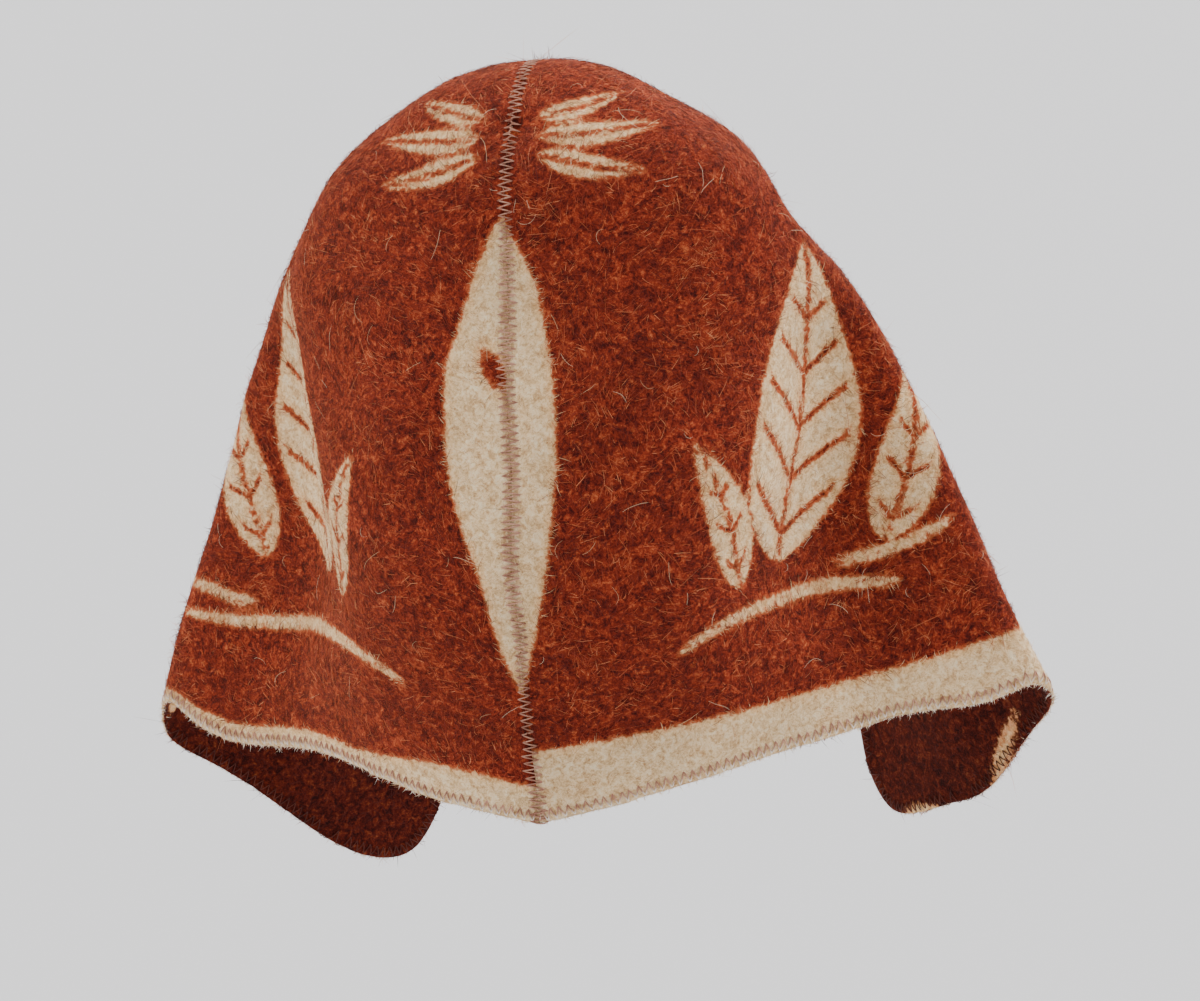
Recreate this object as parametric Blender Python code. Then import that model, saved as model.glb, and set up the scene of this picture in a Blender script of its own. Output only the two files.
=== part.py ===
"""Sauna hat: two mirror panels of thick napped blanket cloth, joined by one seam over the crown.

Metres, +Z up. The hat faces -Y and the wearer's left is +X. The origin is the point inside the
top of the crown that rests on a head. Each panel is one closed cloth wall: it starts at the
crown's top, rounds the head, folds at a wing beside the ear and hangs as a flap by the cheek.
"""
from collections import namedtuple

import bmesh
import bpy
import numpy as np

# Cloth
CLOTH = 0.003                # wall of the napped double cloth
SEAM_GAP = 0.0003            # between the two edges that the centre seam joins

# Reach of the hat, from the point above the origin
WING_REACH = 0.178           # sideways, to the corner of a wing
BACK_REACH = 0.078           # backwards, to the fullest part behind the head
FRONT_REACH = 0.135          # forwards, to the brow

# Depths below the top of the crown
WING_DROP = 0.248            # to the corner of a wing
NAPE_DROP = 0.279            # to the hem's point at the nape
BROW_DROP = 0.108            # to the brow edge
LEFT_FLAP_DROP = 0.331       # to the lowest point of the wearer's left flap
RIGHT_FLAP_DROP = 0.318      # and of the right flap, which hangs a little shorter

# Grid of the cloth
ROWS = 26                    # steps down each panel, from the crown to the rim
CAP_STEPS = 4                # steps of the cap above the first level
CAP_ROUNDNESS = 1.88         # 2 is a round cap, 1 a pointed one

RUST = (0.42, 0.10, 0.035, 1.0)
NAP_ROUGHNESS = 0.95

# Where each named line of the cloth runs, as a share of the way round from the back seam to
# the front seam: the round of the head, the hollow behind the wing, the wing's folded tip, the
# cheek, the temple where the face opening starts, and the front.
LINES = {
    "back": 0.0, "round": 0.17, "side": 0.28, "hollow": 0.36,
    "tip": 0.49, "cheek": 0.63, "temple": 0.77, "front": 1.0,
}

# Level sections of one panel. drop is a share of WING_DROP. Each line's point is
# (sideways, fore and aft): a share of WING_REACH, and a share of BACK_REACH where it is
# positive or of FRONT_REACH where it is negative.
Level = namedtuple("Level", ["drop"] + list(LINES))
LEVELS = [
    Level(0.17, (0, 0.63), (0.26, 0.52), (0.42, 0.30), (0.463, 0.11),
          (0.463, -0.05), (0.38, -0.33), (0.25, -0.61), (0, -0.76)),
    Level(0.26, (0, 0.68), (0.29, 0.57), (0.47, 0.33), (0.53, 0.13),
          (0.528, -0.02), (0.44, -0.34), (0.30, -0.67), (0, -0.87)),
    Level(0.34, (0, 0.74), (0.31, 0.62), (0.51, 0.33), (0.57, 0.10),
          (0.614, -0.10), (0.49, -0.37), (0.35, -0.69), (0, -0.93)),
    Level(0.44, (0, 0.83), (0.32, 0.70), (0.51, 0.36), (0.56, 0.05),
          (0.687, -0.13), (0.53, -0.39), (0.39, -0.72), (0, -0.98)),
    Level(0.56, (0, 0.92), (0.33, 0.76), (0.50, 0.41), (0.54, 0.05),
          (0.763, -0.13), (0.57, -0.42), (0.42, -0.73), (0, -1.0)),
    Level(0.71, (0, 1.0), (0.35, 0.80), (0.47, 0.46), (0.53, 0.08),
          (0.843, -0.13), (0.62, -0.44), (0.44, -0.74), (0, -0.99)),
    Level(0.87, (0, 0.97), (0.35, 0.75), (0.48, 0.44), (0.60, 0.10),
          (0.932, -0.125), (0.67, -0.46), (0.47, -0.73), (0, -0.96)),
    Level(1.0, (0, 0.92), (0.35, 0.69), (0.52, 0.38), (0.69, 0.10),
          (1.0, -0.13), (0.71, -0.47), (0.49, -0.73), (0, -0.93)),
    Level(1.35, (0, 0.84), (0.35, 0.60), (0.54, 0.32), (0.71, 0.03),
          (1.0, -0.17), (0.72, -0.49), (0.49, -0.74), (0, -0.90)),
]

# The rim, from the nape round the wing and the flap and up the face opening to the brow.
# crown is where a line of the cloth that ends here leaves the crown, round where it ends, both
# as shares of the way round. hang is the depth there, as a share of the depth named by of.
# steps is the number of grid columns to the next row.
Rim = namedtuple("Rim", "crown round hang of steps")
RIM = [
    Rim(0.00, 0.00, 1.00, "nape", 4),
    Rim(0.12, 0.12, 0.965, "nape", 5),
    Rim(0.30, 0.30, 0.925, "nape", 4),
    Rim(0.41, 0.41, 1.015, "wing", 5),
    Rim(0.49, 0.49, 1.00, "wing", 3),
    Rim(0.53, 0.54, 0.83, "flap", 3),
    Rim(0.57, 0.60, 0.905, "flap", 3),
    Rim(0.60, 0.67, 0.985, "flap", 2),
    Rim(0.63, 0.72, 0.995, "flap", 2),
    Rim(0.66, 0.757, 0.93, "flap", 4),
    Rim(0.71, 0.763, 0.66, "flap", 4),
    Rim(0.76, 0.775, 1.22, "brow", 2),
    Rim(0.83, 0.84, 1.045, "brow", 4),
    Rim(1.00, 1.00, 1.00, "brow", 0),
]


def smooth(knots, values, places):
    """Values at the places of a smooth curve that passes through each knot's value."""
    knots = np.asarray(knots, float)
    values = np.asarray(values, float)
    gaps = np.diff(knots)
    rises = np.diff(values, axis=0) / gaps.reshape(-1, *[1] * (values.ndim - 1))
    slopes = np.empty_like(values)
    for i in range(1, len(knots) - 1):
        slopes[i] = (gaps[i] * rises[i - 1] + gaps[i - 1] * rises[i]) / (gaps[i - 1] + gaps[i])
    slopes[0] = 1.5 * rises[0] - 0.5 * slopes[1]
    slopes[-1] = 1.5 * rises[-1] - 0.5 * slopes[-2]
    places = np.clip(places, knots[0], knots[-1])
    i = np.clip(np.searchsorted(knots, places) - 1, 0, len(gaps) - 1)
    shape = (-1,) + (1,) * (values.ndim - 1)
    gap = gaps[i].reshape(shape)
    u = ((places - knots[i]) / gaps[i]).reshape(shape)
    return ((2 * u**3 - 3 * u**2 + 1) * values[i] + (u**3 - 2 * u**2 + u) * gap * slopes[i]
            + (3 * u**2 - 2 * u**3) * values[i + 1] + (u**3 - u**2) * gap * slopes[i + 1])


def level_points(level):
    """The points of one level's lines, from the back seam to the front seam."""
    points = []
    for line in LINES:
        sideways, aft = getattr(level, line)
        reach = BACK_REACH if aft > 0 else FRONT_REACH
        points.append((sideways * WING_REACH, aft * reach, -level.drop * WING_DROP))
    return np.array(points)


def cap_sections():
    """Sections of the cap: the first level, drawn in towards the crown's slightly raised top."""
    first = level_points(LEVELS[0])
    sections = []
    for step in range(CAP_STEPS):
        share = step / CAP_STEPS
        section = first * share
        section[:, 2] = first[:, 2] * share**CAP_ROUNDNESS
        sections.append(section)
    return sections


SECTIONS = np.array(cap_sections() + [level_points(level) for level in LEVELS])
DOWN = np.concatenate([[0], np.cumsum(
    np.linalg.norm(np.diff(SECTIONS, axis=0), axis=2).mean(axis=1))])


def cloth_points(rounds, downs):
    """Points of the cloth's outer face at shares of the way round and at ways down it."""
    ways = np.array(list(LINES.values()))
    mirror = np.array([-1, 1, 1])
    points = []
    for share, down in zip(rounds, downs):
        section = smooth(DOWN, SECTIONS, np.array([down]))[0]
        knots = np.concatenate([-ways[2:0:-1], ways, 2 - ways[-2:-4:-1]])
        ring = np.concatenate([section[2:0:-1] * mirror, section, section[-2:-4:-1] * mirror])
        points.append(smooth(knots, ring, np.array([share]))[0])
    return np.array(points)


def rim_path(flap_drop):
    """Crown share, rim share and way down of every column of the grid, along the rim."""
    depths = {"nape": NAPE_DROP, "wing": WING_DROP, "flap": flap_drop, "brow": BROW_DROP}
    knots = np.concatenate([[0], np.cumsum([row.steps for row in RIM[:-1]])])
    rows = [(row.crown, row.round, row.hang * depths[row.of]) for row in RIM]
    crown, round_, drop = smooth(knots, rows, np.arange(knots[-1] + 1)).T
    down = np.interp(drop, -SECTIONS[:, 0, 2], DOWN)
    return crown, round_, down


def outer_grid(flap_drop):
    """Outer face of a panel: rows from the crown to the rim, columns from back to front."""
    crown, round_, down = rim_path(flap_drop)
    rows = []
    for row in range(ROWS + 1):
        share = row / ROWS
        rows.append(cloth_points(crown + (round_ - crown) * share, down * share))
    grid = np.array(rows)
    grid[:, [0, -1], 0] = 0
    return grid


def outward(grid):
    """Outward normals of the grid. Past the seam the hat goes on as its own mirror image."""
    mirror = np.array([-1, 1, 1])
    wide = np.concatenate([grid[:, 1:2] * mirror, grid, grid[:, -2:-1] * mirror], axis=1)
    along = wide[:, 2:] - wide[:, :-2]
    down = np.gradient(grid, axis=0)
    normals = np.cross(along, down)
    normals[0] = (0, 0, 1)
    normals[:, [0, -1], 0] = 0
    return normals / np.linalg.norm(normals, axis=2, keepdims=True)


def panel(name, side, flap_drop, material):
    """One cloth panel on the side of the seam that side points to, +1 or -1."""
    outer = outer_grid(flap_drop)
    inner = outer - outward(outer) * CLOTH
    top = np.array([0, 0, CLOTH])
    mesh = bmesh.new()
    faces = {}
    for face, grid in (("outer", outer), ("inner", inner)):
        placed = grid + top + np.array([SEAM_GAP / 2, 0, 0])
        placed[:, :, 0] *= side
        pole = mesh.verts.new(placed[0, 0])
        faces[face] = [[pole] * placed.shape[1]]
        for row in placed[1:]:
            faces[face].append([mesh.verts.new(point) for point in row])
    rows, columns = outer.shape[:2]

    def face_of(corners):
        kept = [v for i, v in enumerate(corners) if v is not corners[i - 1]]
        mesh.faces.new(kept)

    out, into = faces["outer"], faces["inner"]
    for r in range(rows - 1):
        for c in range(columns - 1):
            face_of([out[r][c], out[r + 1][c], out[r + 1][c + 1], out[r][c + 1]])
            face_of([into[r][c], into[r][c + 1], into[r + 1][c + 1], into[r + 1][c]])
        face_of([out[r][0], into[r][0], into[r + 1][0], out[r + 1][0]])
        face_of([out[r][-1], out[r + 1][-1], into[r + 1][-1], into[r][-1]])
    for c in range(columns - 1):
        face_of([out[-1][c], into[-1][c], into[-1][c + 1], out[-1][c + 1]])
    bmesh.ops.recalc_face_normals(mesh, faces=mesh.faces)
    data = bpy.data.meshes.new(name)
    mesh.to_mesh(data)
    mesh.free()
    data.shade_smooth()
    data.set_sharp_from_angle(angle=np.radians(50))
    data.materials.append(material)
    hat_panel = bpy.data.objects.new(name, data)
    bpy.context.collection.objects.link(hat_panel)
    return hat_panel


def napped_cloth(name):
    """Rust blanket cloth."""
    material = bpy.data.materials.new(name)
    material.use_nodes = True
    shader = material.node_tree.nodes["Principled BSDF"]
    shader.inputs["Base Color"].default_value = RUST
    shader.inputs["Roughness"].default_value = NAP_ROUGHNESS
    shader.inputs["Metallic"].default_value = 0.0
    return material


def main():
    for thing in list(bpy.data.objects):
        bpy.data.objects.remove(thing)
    panel("left_panel", 1, LEFT_FLAP_DROP, napped_cloth("left_cloth"))
    panel("right_panel", -1, RIGHT_FLAP_DROP, napped_cloth("right_cloth"))


main()
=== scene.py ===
# %% [markdown]
# # A sauna hat of napped blanket cloth
# The hat is two mirror pieces of thick double cloth, rust on one face and cream on the other, with
# a woven picture where the colours change places. One zigzag seam joins them over the crown, and
# the cut rim is oversewn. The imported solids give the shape. This lesson gives the cloth its
# softness, its woven colours, its nap and its thread.

# %% The frame and its box
import math

import bmesh
import bpy
import numpy as np
from mathutils import Matrix, Vector, noise
from mathutils.bvhtree import BVHTree


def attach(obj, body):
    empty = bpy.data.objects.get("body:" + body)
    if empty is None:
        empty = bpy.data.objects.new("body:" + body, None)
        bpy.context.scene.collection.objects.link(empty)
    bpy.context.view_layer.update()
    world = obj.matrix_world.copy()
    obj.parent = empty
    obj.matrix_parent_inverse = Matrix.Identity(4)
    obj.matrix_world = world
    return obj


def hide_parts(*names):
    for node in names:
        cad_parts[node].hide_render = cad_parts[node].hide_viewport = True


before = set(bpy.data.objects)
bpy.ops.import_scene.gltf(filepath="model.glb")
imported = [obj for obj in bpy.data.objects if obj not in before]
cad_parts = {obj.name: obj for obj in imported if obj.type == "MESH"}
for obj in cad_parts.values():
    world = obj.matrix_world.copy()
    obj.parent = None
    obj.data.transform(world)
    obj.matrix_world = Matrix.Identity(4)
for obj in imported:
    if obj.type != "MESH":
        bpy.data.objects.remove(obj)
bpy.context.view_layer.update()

MM = 0.001
# Blender's noise vectors start at another place on each run unless they are given a seed.
NOISE_SEED = 4911
noise.seed_set(NOISE_SEED)


def show(name, data):
    """A new object in the scene."""
    made = bpy.data.objects.new(name, data)
    bpy.context.scene.collection.objects.link(made)
    return made


# %% [markdown]
# ## The camera
# The hat is seen from behind, from 15 degrees to the wearer's right and a little above, through a
# long lens. The hat leans a few degrees, so the camera is turned about its own axis instead of the
# hat. Its place could be found by trial in the viewport. Here it is worked out from named angles,
# so that one number can be changed at a time.

# %% The camera's place
PICTURE_WIDTH, PICTURE_HEIGHT = 1200, 1001
AZIMUTH = math.radians(195.0)
ELEVATION = math.radians(9.5)
ROLL = math.radians(4.2)
DISTANCE = 1.50
FOCAL_PIXELS = 3975.0
SENSOR = 36.0
AIM = Vector((0.0, 0.013, -0.143))
AIM_PIXEL = (551.0, 448.0)


def place_camera():
    back = Vector((math.sin(AZIMUTH) * math.cos(ELEVATION), -math.cos(AZIMUTH) * math.cos(ELEVATION),
                   math.sin(ELEVATION)))
    level = Vector((math.cos(AZIMUTH), math.sin(AZIMUTH), 0.0))
    plumb = back.cross(level)
    right = level * math.cos(ROLL) - plumb * math.sin(ROLL)
    up = level * math.sin(ROLL) + plumb * math.cos(ROLL)
    pixels_per_metre = FOCAL_PIXELS / DISTANCE
    place = AIM + back * DISTANCE
    place += right * (PICTURE_WIDTH / 2 - AIM_PIXEL[0]) / pixels_per_metre
    place -= up * (PICTURE_HEIGHT / 2 - AIM_PIXEL[1]) / pixels_per_metre
    data = bpy.data.cameras.new("camera")
    data.sensor_width = SENSOR
    data.lens = SENSOR * FOCAL_PIXELS / PICTURE_WIDTH
    camera = show("camera", data)
    camera.matrix_world = Matrix.Translation(place) @ Matrix((right, up, back)).transposed().to_4x4()
    bpy.context.scene.camera = camera
    return camera


camera = place_camera()
print("camera at", [round(v, 3) for v in camera.location], "lens", round(camera.data.lens, 1), "mm")

# %% [markdown]
# ## Mixing colours with nodes
# Every finish here is a small web of nodes. Such a web could be wired by hand in the Shader Editor.
# A few short helpers do the same, and keep each recipe readable: one makes a node, one does sums,
# and one blends two colours.


# %% Helpers that wire a material
class Recipe:
    """One material, or the sky, and the short words that wire its nodes."""

    def __init__(self, name, home=bpy.data.materials, last="Principled BSDF"):
        self.made = home.new(name)
        self.made.use_nodes = True
        self.tree = self.made.node_tree
        self.last = self.tree.nodes[last]

    def feed(self, node, inputs):
        for key, value in dict(inputs).items():
            if isinstance(value, bpy.types.NodeSocket):
                self.tree.links.new(value, node.inputs[key])
            else:
                node.inputs[key].default_value = value

    def node(self, kind, inputs=(), **settings):
        made = self.tree.nodes.new(kind)
        for key, value in settings.items():
            setattr(made, key, value)
        self.feed(made, inputs)
        return made

    def sum(self, operation, *values):
        return self.node("ShaderNodeMath", enumerate(values), operation=operation).outputs[0]

    def blend(self, share, first, second, kind="MIX"):
        inputs = {0: share, 6: first, 7: second}
        return self.node("ShaderNodeMix", inputs, data_type="RGBA", blend_type=kind).outputs[2]

    def ramp(self, value, stops):
        made = self.node("ShaderNodeValToRGB", {0: value})
        steps = made.color_ramp.elements
        while len(steps) < len(stops):
            steps.new(0.5)
        for step, (place, colour) in zip(steps, stops):
            step.position = place
            step.color = (*colour, 1.0)
        return made.outputs[0]

    def spots(self, where, size_mm, detail=3.0, roughness=0.6, distortion=0.0):
        inputs = {"Vector": where, "Scale": 1000.0 / size_mm, "Detail": detail,
                  "Roughness": roughness, "Distortion": distortion}
        return self.node("ShaderNodeTexNoise", inputs).outputs[0]

    def step(self, value, low, high, first=0.0, last=1.0):
        inputs = {"Value": value, "From Min": low, "From Max": high, "To Min": first, "To Max": last}
        return self.node("ShaderNodeMapRange", inputs, interpolation_type="SMOOTHSTEP").outputs[0]

    def place(self):
        return self.node("ShaderNodeTexCoord").outputs["Object"]

    def attribute(self, name):
        return self.node("ShaderNodeAttribute", attribute_name=name).outputs["Fac"]

    def bump(self, height, depth_mm, strength=1.0):
        inputs = {"Height": height, "Distance": depth_mm * MM, "Strength": strength}
        return self.node("ShaderNodeBump", inputs).outputs[0]

    def finish(self, inputs):
        self.feed(self.last, inputs)
        return self.made


print("recipe helpers ready")

# %% [markdown]
# ## The floor and the light
# A plain pale floor runs out past the picture, so that it is the background too. The light is that
# of a bright room: a pale sky all round, a broad soft sun from the upper left, a weaker one from
# the upper right and a third from beyond the hat, which lights the fuzz of its outline. Area lamps
# would do as well near the hat, but they would leave the far floor dark. A sun with a wide angle
# lights the floor evenly and keeps the shadows soft. The sky is as pale as the floor along the
# horizon, so that no line shows where they meet, and darker overhead.

# %% Floor, suns and sky
FLOOR_DROP = 1.3
FLOOR_RADIUS = 60.0
FLOOR_PALE, FLOOR_GRAIN = (0.575, 0.575, 0.585, 1.0), (0.595, 0.595, 0.605, 1.0)
SKY_COLOUR = (0.97, 0.98, 1.0, 1.0)
ZENITH_STRENGTH, HORIZON_STRENGTH = 0.20, 1.22
HORIZON_TOP = 0.16
# Each row: name, where the light comes from, strength, angle across in degrees and colour.
SUNS = (
    ("left_window", (1.15, 0.24, 1.5), 3.6, 60.0, (1.0, 0.985, 0.97)),
    ("right_window", (-1.7, -0.55, 1.1), 3.4, 60.0, (0.99, 0.985, 1.0)),
    ("far_window", (-0.35, -1.6, 1.35), 3.0, 60.0, (1.0, 0.99, 0.98)),
)


def lay_floor():
    bpy.ops.object.select_all(action="DESELECT")
    bpy.ops.mesh.primitive_circle_add(vertices=64, radius=FLOOR_RADIUS, fill_type="NGON",
                                      location=(0.0, 0.0, -FLOOR_DROP))
    floor = bpy.context.active_object
    floor.name = "studio_floor"
    bpy.ops.object.transform_apply(location=True, rotation=True, scale=True)
    paint = Recipe("pale_floor")
    grain = paint.spots(paint.place(), 6.0)
    floor.data.materials.append(paint.finish({
        "Base Color": paint.blend(grain, FLOOR_PALE, FLOOR_GRAIN), "Roughness": 0.85,
        "Specular IOR Level": 0.1, "Normal": paint.bump(grain, 0.05)}))


def light_room():
    sky = Recipe("pale_room", bpy.data.worlds, "Background")
    way = sky.node("ShaderNodeTexCoord").outputs["Generated"]
    height = sky.node("ShaderNodeSeparateXYZ", {0: way}).outputs["Z"]
    strength = sky.step(height, 0.0, HORIZON_TOP, HORIZON_STRENGTH, ZENITH_STRENGTH)
    bpy.context.scene.world = sky.finish({"Color": SKY_COLOUR, "Strength": strength})
    for name, place, strength, angle, colour in SUNS:
        data = bpy.data.lights.new(name, "SUN")
        data.energy = strength
        data.angle = math.radians(angle)
        data.color = colour
        sun = show(name, data)
        sun.location = place
        sun.rotation_euler = (AIM - Vector(place)).to_track_quat("-Z", "Y").to_euler()


lay_floor()
light_room()
print("floor", FLOOR_DROP * 1000, "mm below the crown,", len(SUNS), "suns and a sky")

# %% [markdown]
# ## Two panels of cloth
# On the real hat each half is one cut piece of blanket cloth about 3 mm thick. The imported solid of
# a half is already that piece, but with flat facets. A Subdivision Surface over its quads rounds it
# without moving it. It could also be retopologised by hand. The seam edges are creased, so that the
# two halves still meet, and the rim a little less, because cut felt is never sharp.

# %% Copies of the solids as quads
PANELS = {"left_panel": 1.0, "right_panel": -1.0}
SEAM_REACH = 0.6 * MM
SEAM_CREASE = 1.0
RIM_CREASE = 0.6
ROUNDING_LEVELS = 2
CUT_ANGLE = math.radians(55.0)


def only(obj):
    bpy.ops.object.select_all(action="DESELECT")
    obj.select_set(True)
    bpy.context.view_layer.objects.active = obj


def quad_copy(node, name):
    cloth = show(name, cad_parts[node].data.copy())
    cloth.data.materials.clear()
    only(cloth)
    bpy.ops.object.mode_set(mode="EDIT")
    bpy.ops.mesh.select_all(action="SELECT")
    bpy.ops.mesh.remove_doubles(threshold=0.01 * MM)
    any_angle = {"face_threshold": math.pi, "shape_threshold": math.pi}
    bpy.ops.mesh.tris_convert_to_quads(topology_influence=2.0, **any_angle)
    bpy.ops.object.mode_set(mode="OBJECT")
    return cloth


cloths = {node: quad_copy(node, node.replace("panel", "cloth")) for node in PANELS}
for cloth in cloths.values():
    print(cloth.name, len(cloth.data.polygons), "faces")

# %% [markdown]
# ## Finding the two faces and the edge of the cloth
# The outer face of each panel is rust where the inner one is cream, so every point has to know
# which face it is on. The faces are parted by the sharp edges at the rim and the seam. A walk over
# the faces that stops at sharp edges gathers each side, as Select Linked does by hand. The same
# walk gives the lines that the stitches follow later.


# %% Outer face, inner face and their border
def skins(cage):
    """The groups of faces that lie between sharp edges, the two largest first."""
    groups, seen = [], set()
    for start in cage.faces:
        if start in seen:
            continue
        seen.add(start)
        group, waiting = [], [start]
        while waiting:
            face = waiting.pop()
            group.append(face)
            for edge in face.edges:
                if edge.calc_face_angle() < CUT_ANGLE:
                    fresh = [near for near in edge.link_faces if near not in seen]
                    seen.update(fresh)
                    waiting.extend(fresh)
        groups.append(group)
    return sorted(groups, key=len, reverse=True)[:2]


def chain(edges):
    """The points of joined edges in order, as one open line."""
    near = {}
    for edge in edges:
        for vert in edge.verts:
            near.setdefault(vert, []).append(edge.other_vert(vert))
    ends = [vert for vert, others in near.items() if len(others) == 1]
    line, last = [ends[0]], None
    while True:
        ahead = [vert for vert in near[line[-1]] if vert is not last]
        if not ahead:
            return [vert.co.copy() for vert in line]
        last = line[-1]
        line.append(ahead[0])


def mark_faces(cloth):
    """Marks each point as outer (1) or inner (-1), creases the cut edges, returns the rim and seam lines."""
    cage = bmesh.new()
    cage.from_mesh(cloth.data)
    skin = cage.verts.layers.float.new("skin")
    crease = cage.edges.layers.float.new("crease_edge")
    # The outer face is the one that reaches higher.
    outer_faces = set(max(skins(cage), key=lambda group: max(face.calc_center_median().z for face in group)))
    outer = {vert for face in outer_faces for vert in face.verts}
    for vert in cage.verts:
        vert[skin] = 1.0 if vert in outer else -1.0
    rim, seam = [], []
    for edge in cage.edges:
        if edge.calc_face_angle() < CUT_ANGLE:
            continue
        at_seam = all(abs(vert.co.x) < SEAM_REACH for vert in edge.verts)
        edge[crease] = SEAM_CREASE if at_seam else RIM_CREASE
        if len([face for face in edge.link_faces if face in outer_faces]) == 1:
            (seam if at_seam else rim).append(edge)
    lines = chain(rim), chain(seam)
    cage.to_mesh(cloth.data)
    cage.free()
    return lines


lines = {node: mark_faces(cloth) for node, cloth in cloths.items()}
for node, (rim_line, seam_line) in lines.items():
    print(node, "rim of", len(rim_line), "points, seam of", len(seam_line), "points, from",
          [round(v * 1000) for v in seam_line[0]], "to", [round(v * 1000) for v in seam_line[-1]])

# %% [markdown]
# ## Rounding and hanging
# The cage is subdivided and the modifier applied. Real blanket cloth never hangs in one clean
# curve: it keeps the soft waves of its folding. They could be simulated, but the hat's form is
# fixed by its cut, so a slow noise moves the whole thickness together by about a millimetre. Close
# to the rim a quicker, smaller one makes the slightly ragged cut. The two flaps don't hang alike,
# so a few places are let down.

# %% Subdivide and wave the cloth
# The fold parts each wing, behind it, from the cheek, ahead of it, with a soft change between, in mm.
FOLD_Y, FOLD_BLEND = -19.0, 18.0
SMOOTHINGS = 3
# Each row: a place on the cloth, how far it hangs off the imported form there, and the reach of that, in mm.
HANGS = {
    "left_panel": (((140, 2, -262), (0, 0, -9.5), 38), ((177, -20, -256), (3.5, 0, -4), 18),
                   ((131, -62, -302), (0, 0, -6.5), 32), ((92, -92, -300), (-3, -2.5, 0), 20)),
    "right_panel": (((-146, -49, -279), (0, 0, -15), 32), ((-108, -80, -310), (0, 0, 3), 16),
                    ((-176, -20, -248), (-4, 0, -1), 16)),
}
WAVE_LENGTH, WAVE_DEPTH = 38 * MM, 1.5 * MM
CUT_WAVE_LENGTH, CUT_WAVE_DEPTH = 5 * MM, 0.55 * MM
CUT_WAVE_REACH = 5 * MM


def positions(mesh, kind="co"):
    flat = np.empty(len(mesh.vertices) * 3)
    mesh.vertices.foreach_get(kind, flat)
    return flat.reshape(-1, 3)


def lengths(vectors):
    return np.linalg.norm(vectors, axis=-1)


def skin_values(mesh):
    skin = np.empty(len(mesh.vertices), dtype=np.float32)
    mesh.attributes["skin"].data.foreach_get("value", skin)
    return skin


def runs(line):
    """How far along the line each of its points lies."""
    return np.concatenate([[0.0], np.cumsum(lengths(np.diff(line, axis=0)))])


def at_runs(line, run, at):
    """The places at the given distances along the line."""
    return np.stack([np.interp(at, run, line[:, i]) for i in range(3)], axis=1)


def dense(line, step):
    """The same line with a point every step, smoothed through its knots."""
    knots = np.array([tuple(point) for point in line])
    for _ in range(SMOOTHINGS):
        # A point between two knots is 9/16 of each, less 1/16 of each of the two beyond them.
        middle = (knots[:-1] + knots[1:]) * 9 / 16
        middle[1:-1] -= (knots[:-3] + knots[3:]) / 16
        middle[0] = (knots[0] + knots[1]) / 2
        middle[-1] = (knots[-2] + knots[-1]) / 2
        full = np.empty((len(knots) * 2 - 1, 3))
        full[0::2] = knots
        full[1::2] = middle
        knots = full
    run = runs(knots)
    return at_runs(knots, run, np.linspace(0.0, run[-1], max(2, int(run[-1] / step) + 1)))


def nearest_gap(points, line):
    """The distance from each point to the nearest point of a dense line."""
    gap = np.full(len(points), np.inf)
    for start in range(0, len(line), 64):
        away = lengths(points[:, None, :] - line[None, start:start + 64, :])
        gap = np.minimum(gap, away.min(axis=1))
    return gap


def let_down(points, node):
    """Points moved to where the uneven wings and flaps hang, each on its own side of the fold."""
    moved = points.copy()
    share = np.clip((points[:, 1] / MM - FOLD_Y) / FOLD_BLEND + 0.4, 0.0, 1.0)
    behind = share * share * (3 - 2 * share)
    for place, move, reach in HANGS[node]:
        near = np.exp(-(lengths(points / MM - np.array(place)) / reach) ** 2)
        near *= behind if place[1] > FOLD_Y else 1.0 - behind
        moved += near[:, None] * np.array(move) * MM
    return moved


def wave(points, rim):
    """Points moved by the slow waves of the cloth and the ragged cut at its rim."""
    edge = np.clip(1.0 - nearest_gap(points, rim) / CUT_WAVE_REACH, 0.0, 1.0)
    moved = points.copy()
    for i, point in enumerate(points):
        slow = noise.noise_vector(Vector(point) / WAVE_LENGTH) * WAVE_DEPTH
        moved[i] += slow
        if edge[i] > 0.0:
            moved[i] += noise.noise_vector(Vector(point) / CUT_WAVE_LENGTH) * CUT_WAVE_DEPTH * edge[i]
    return moved


def hang(cloth, rim, node):
    only(cloth)
    rounding = cloth.modifiers.new("rounding", "SUBSURF")
    rounding.levels = ROUNDING_LEVELS
    rounding.render_levels = ROUNDING_LEVELS
    bpy.ops.object.modifier_apply(modifier=rounding.name)
    mesh = cloth.data
    here = positions(mesh)
    at_seam = np.abs(here[:, 0]) < SEAM_REACH / 2
    here[at_seam, 0] = PANELS[node] * SEAM_CLOSED
    mesh.vertices.foreach_set("co", wave(let_down(here, node), rim).ravel())
    mesh.shade_smooth()
    mesh.update()
    return len(mesh.vertices)


def press(cloth, rim):
    """The stitches draw the cloth in along the seam, pucker it behind the crown and squeeze its cut rim."""
    mesh = cloth.data
    here = positions(mesh)
    normal = positions(mesh, "normal")
    seam_pull = SEAM_PRESS * np.exp(-(here[:, 0] / SEAM_PRESS_REACH) ** 2)
    rim_pull = RIM_PRESS * np.exp(-(nearest_gap(here, rim) / RIM_PRESS_REACH) ** 2)
    pucker = PUCKER_PULL * np.exp(-(lengths(here - np.array(PUCKER)) / PUCKER_REACH) ** 2)
    outward = normal * skin_values(mesh)[:, None]
    pull = normal * np.maximum(seam_pull, rim_pull)[:, None] + outward * pucker[:, None]
    pull[:, 0] *= 1.0 - np.exp(-(here[:, 0] / SEAM_PRESS_REACH) ** 2)
    mesh.vertices.foreach_set("co", (here - pull).ravel())
    mesh.update()


def laid(line, tree):
    """The line moved onto the nearest places of a surface."""
    return np.array([tuple(tree.find_nearest(Vector(point))[0]) for point in line])


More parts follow.
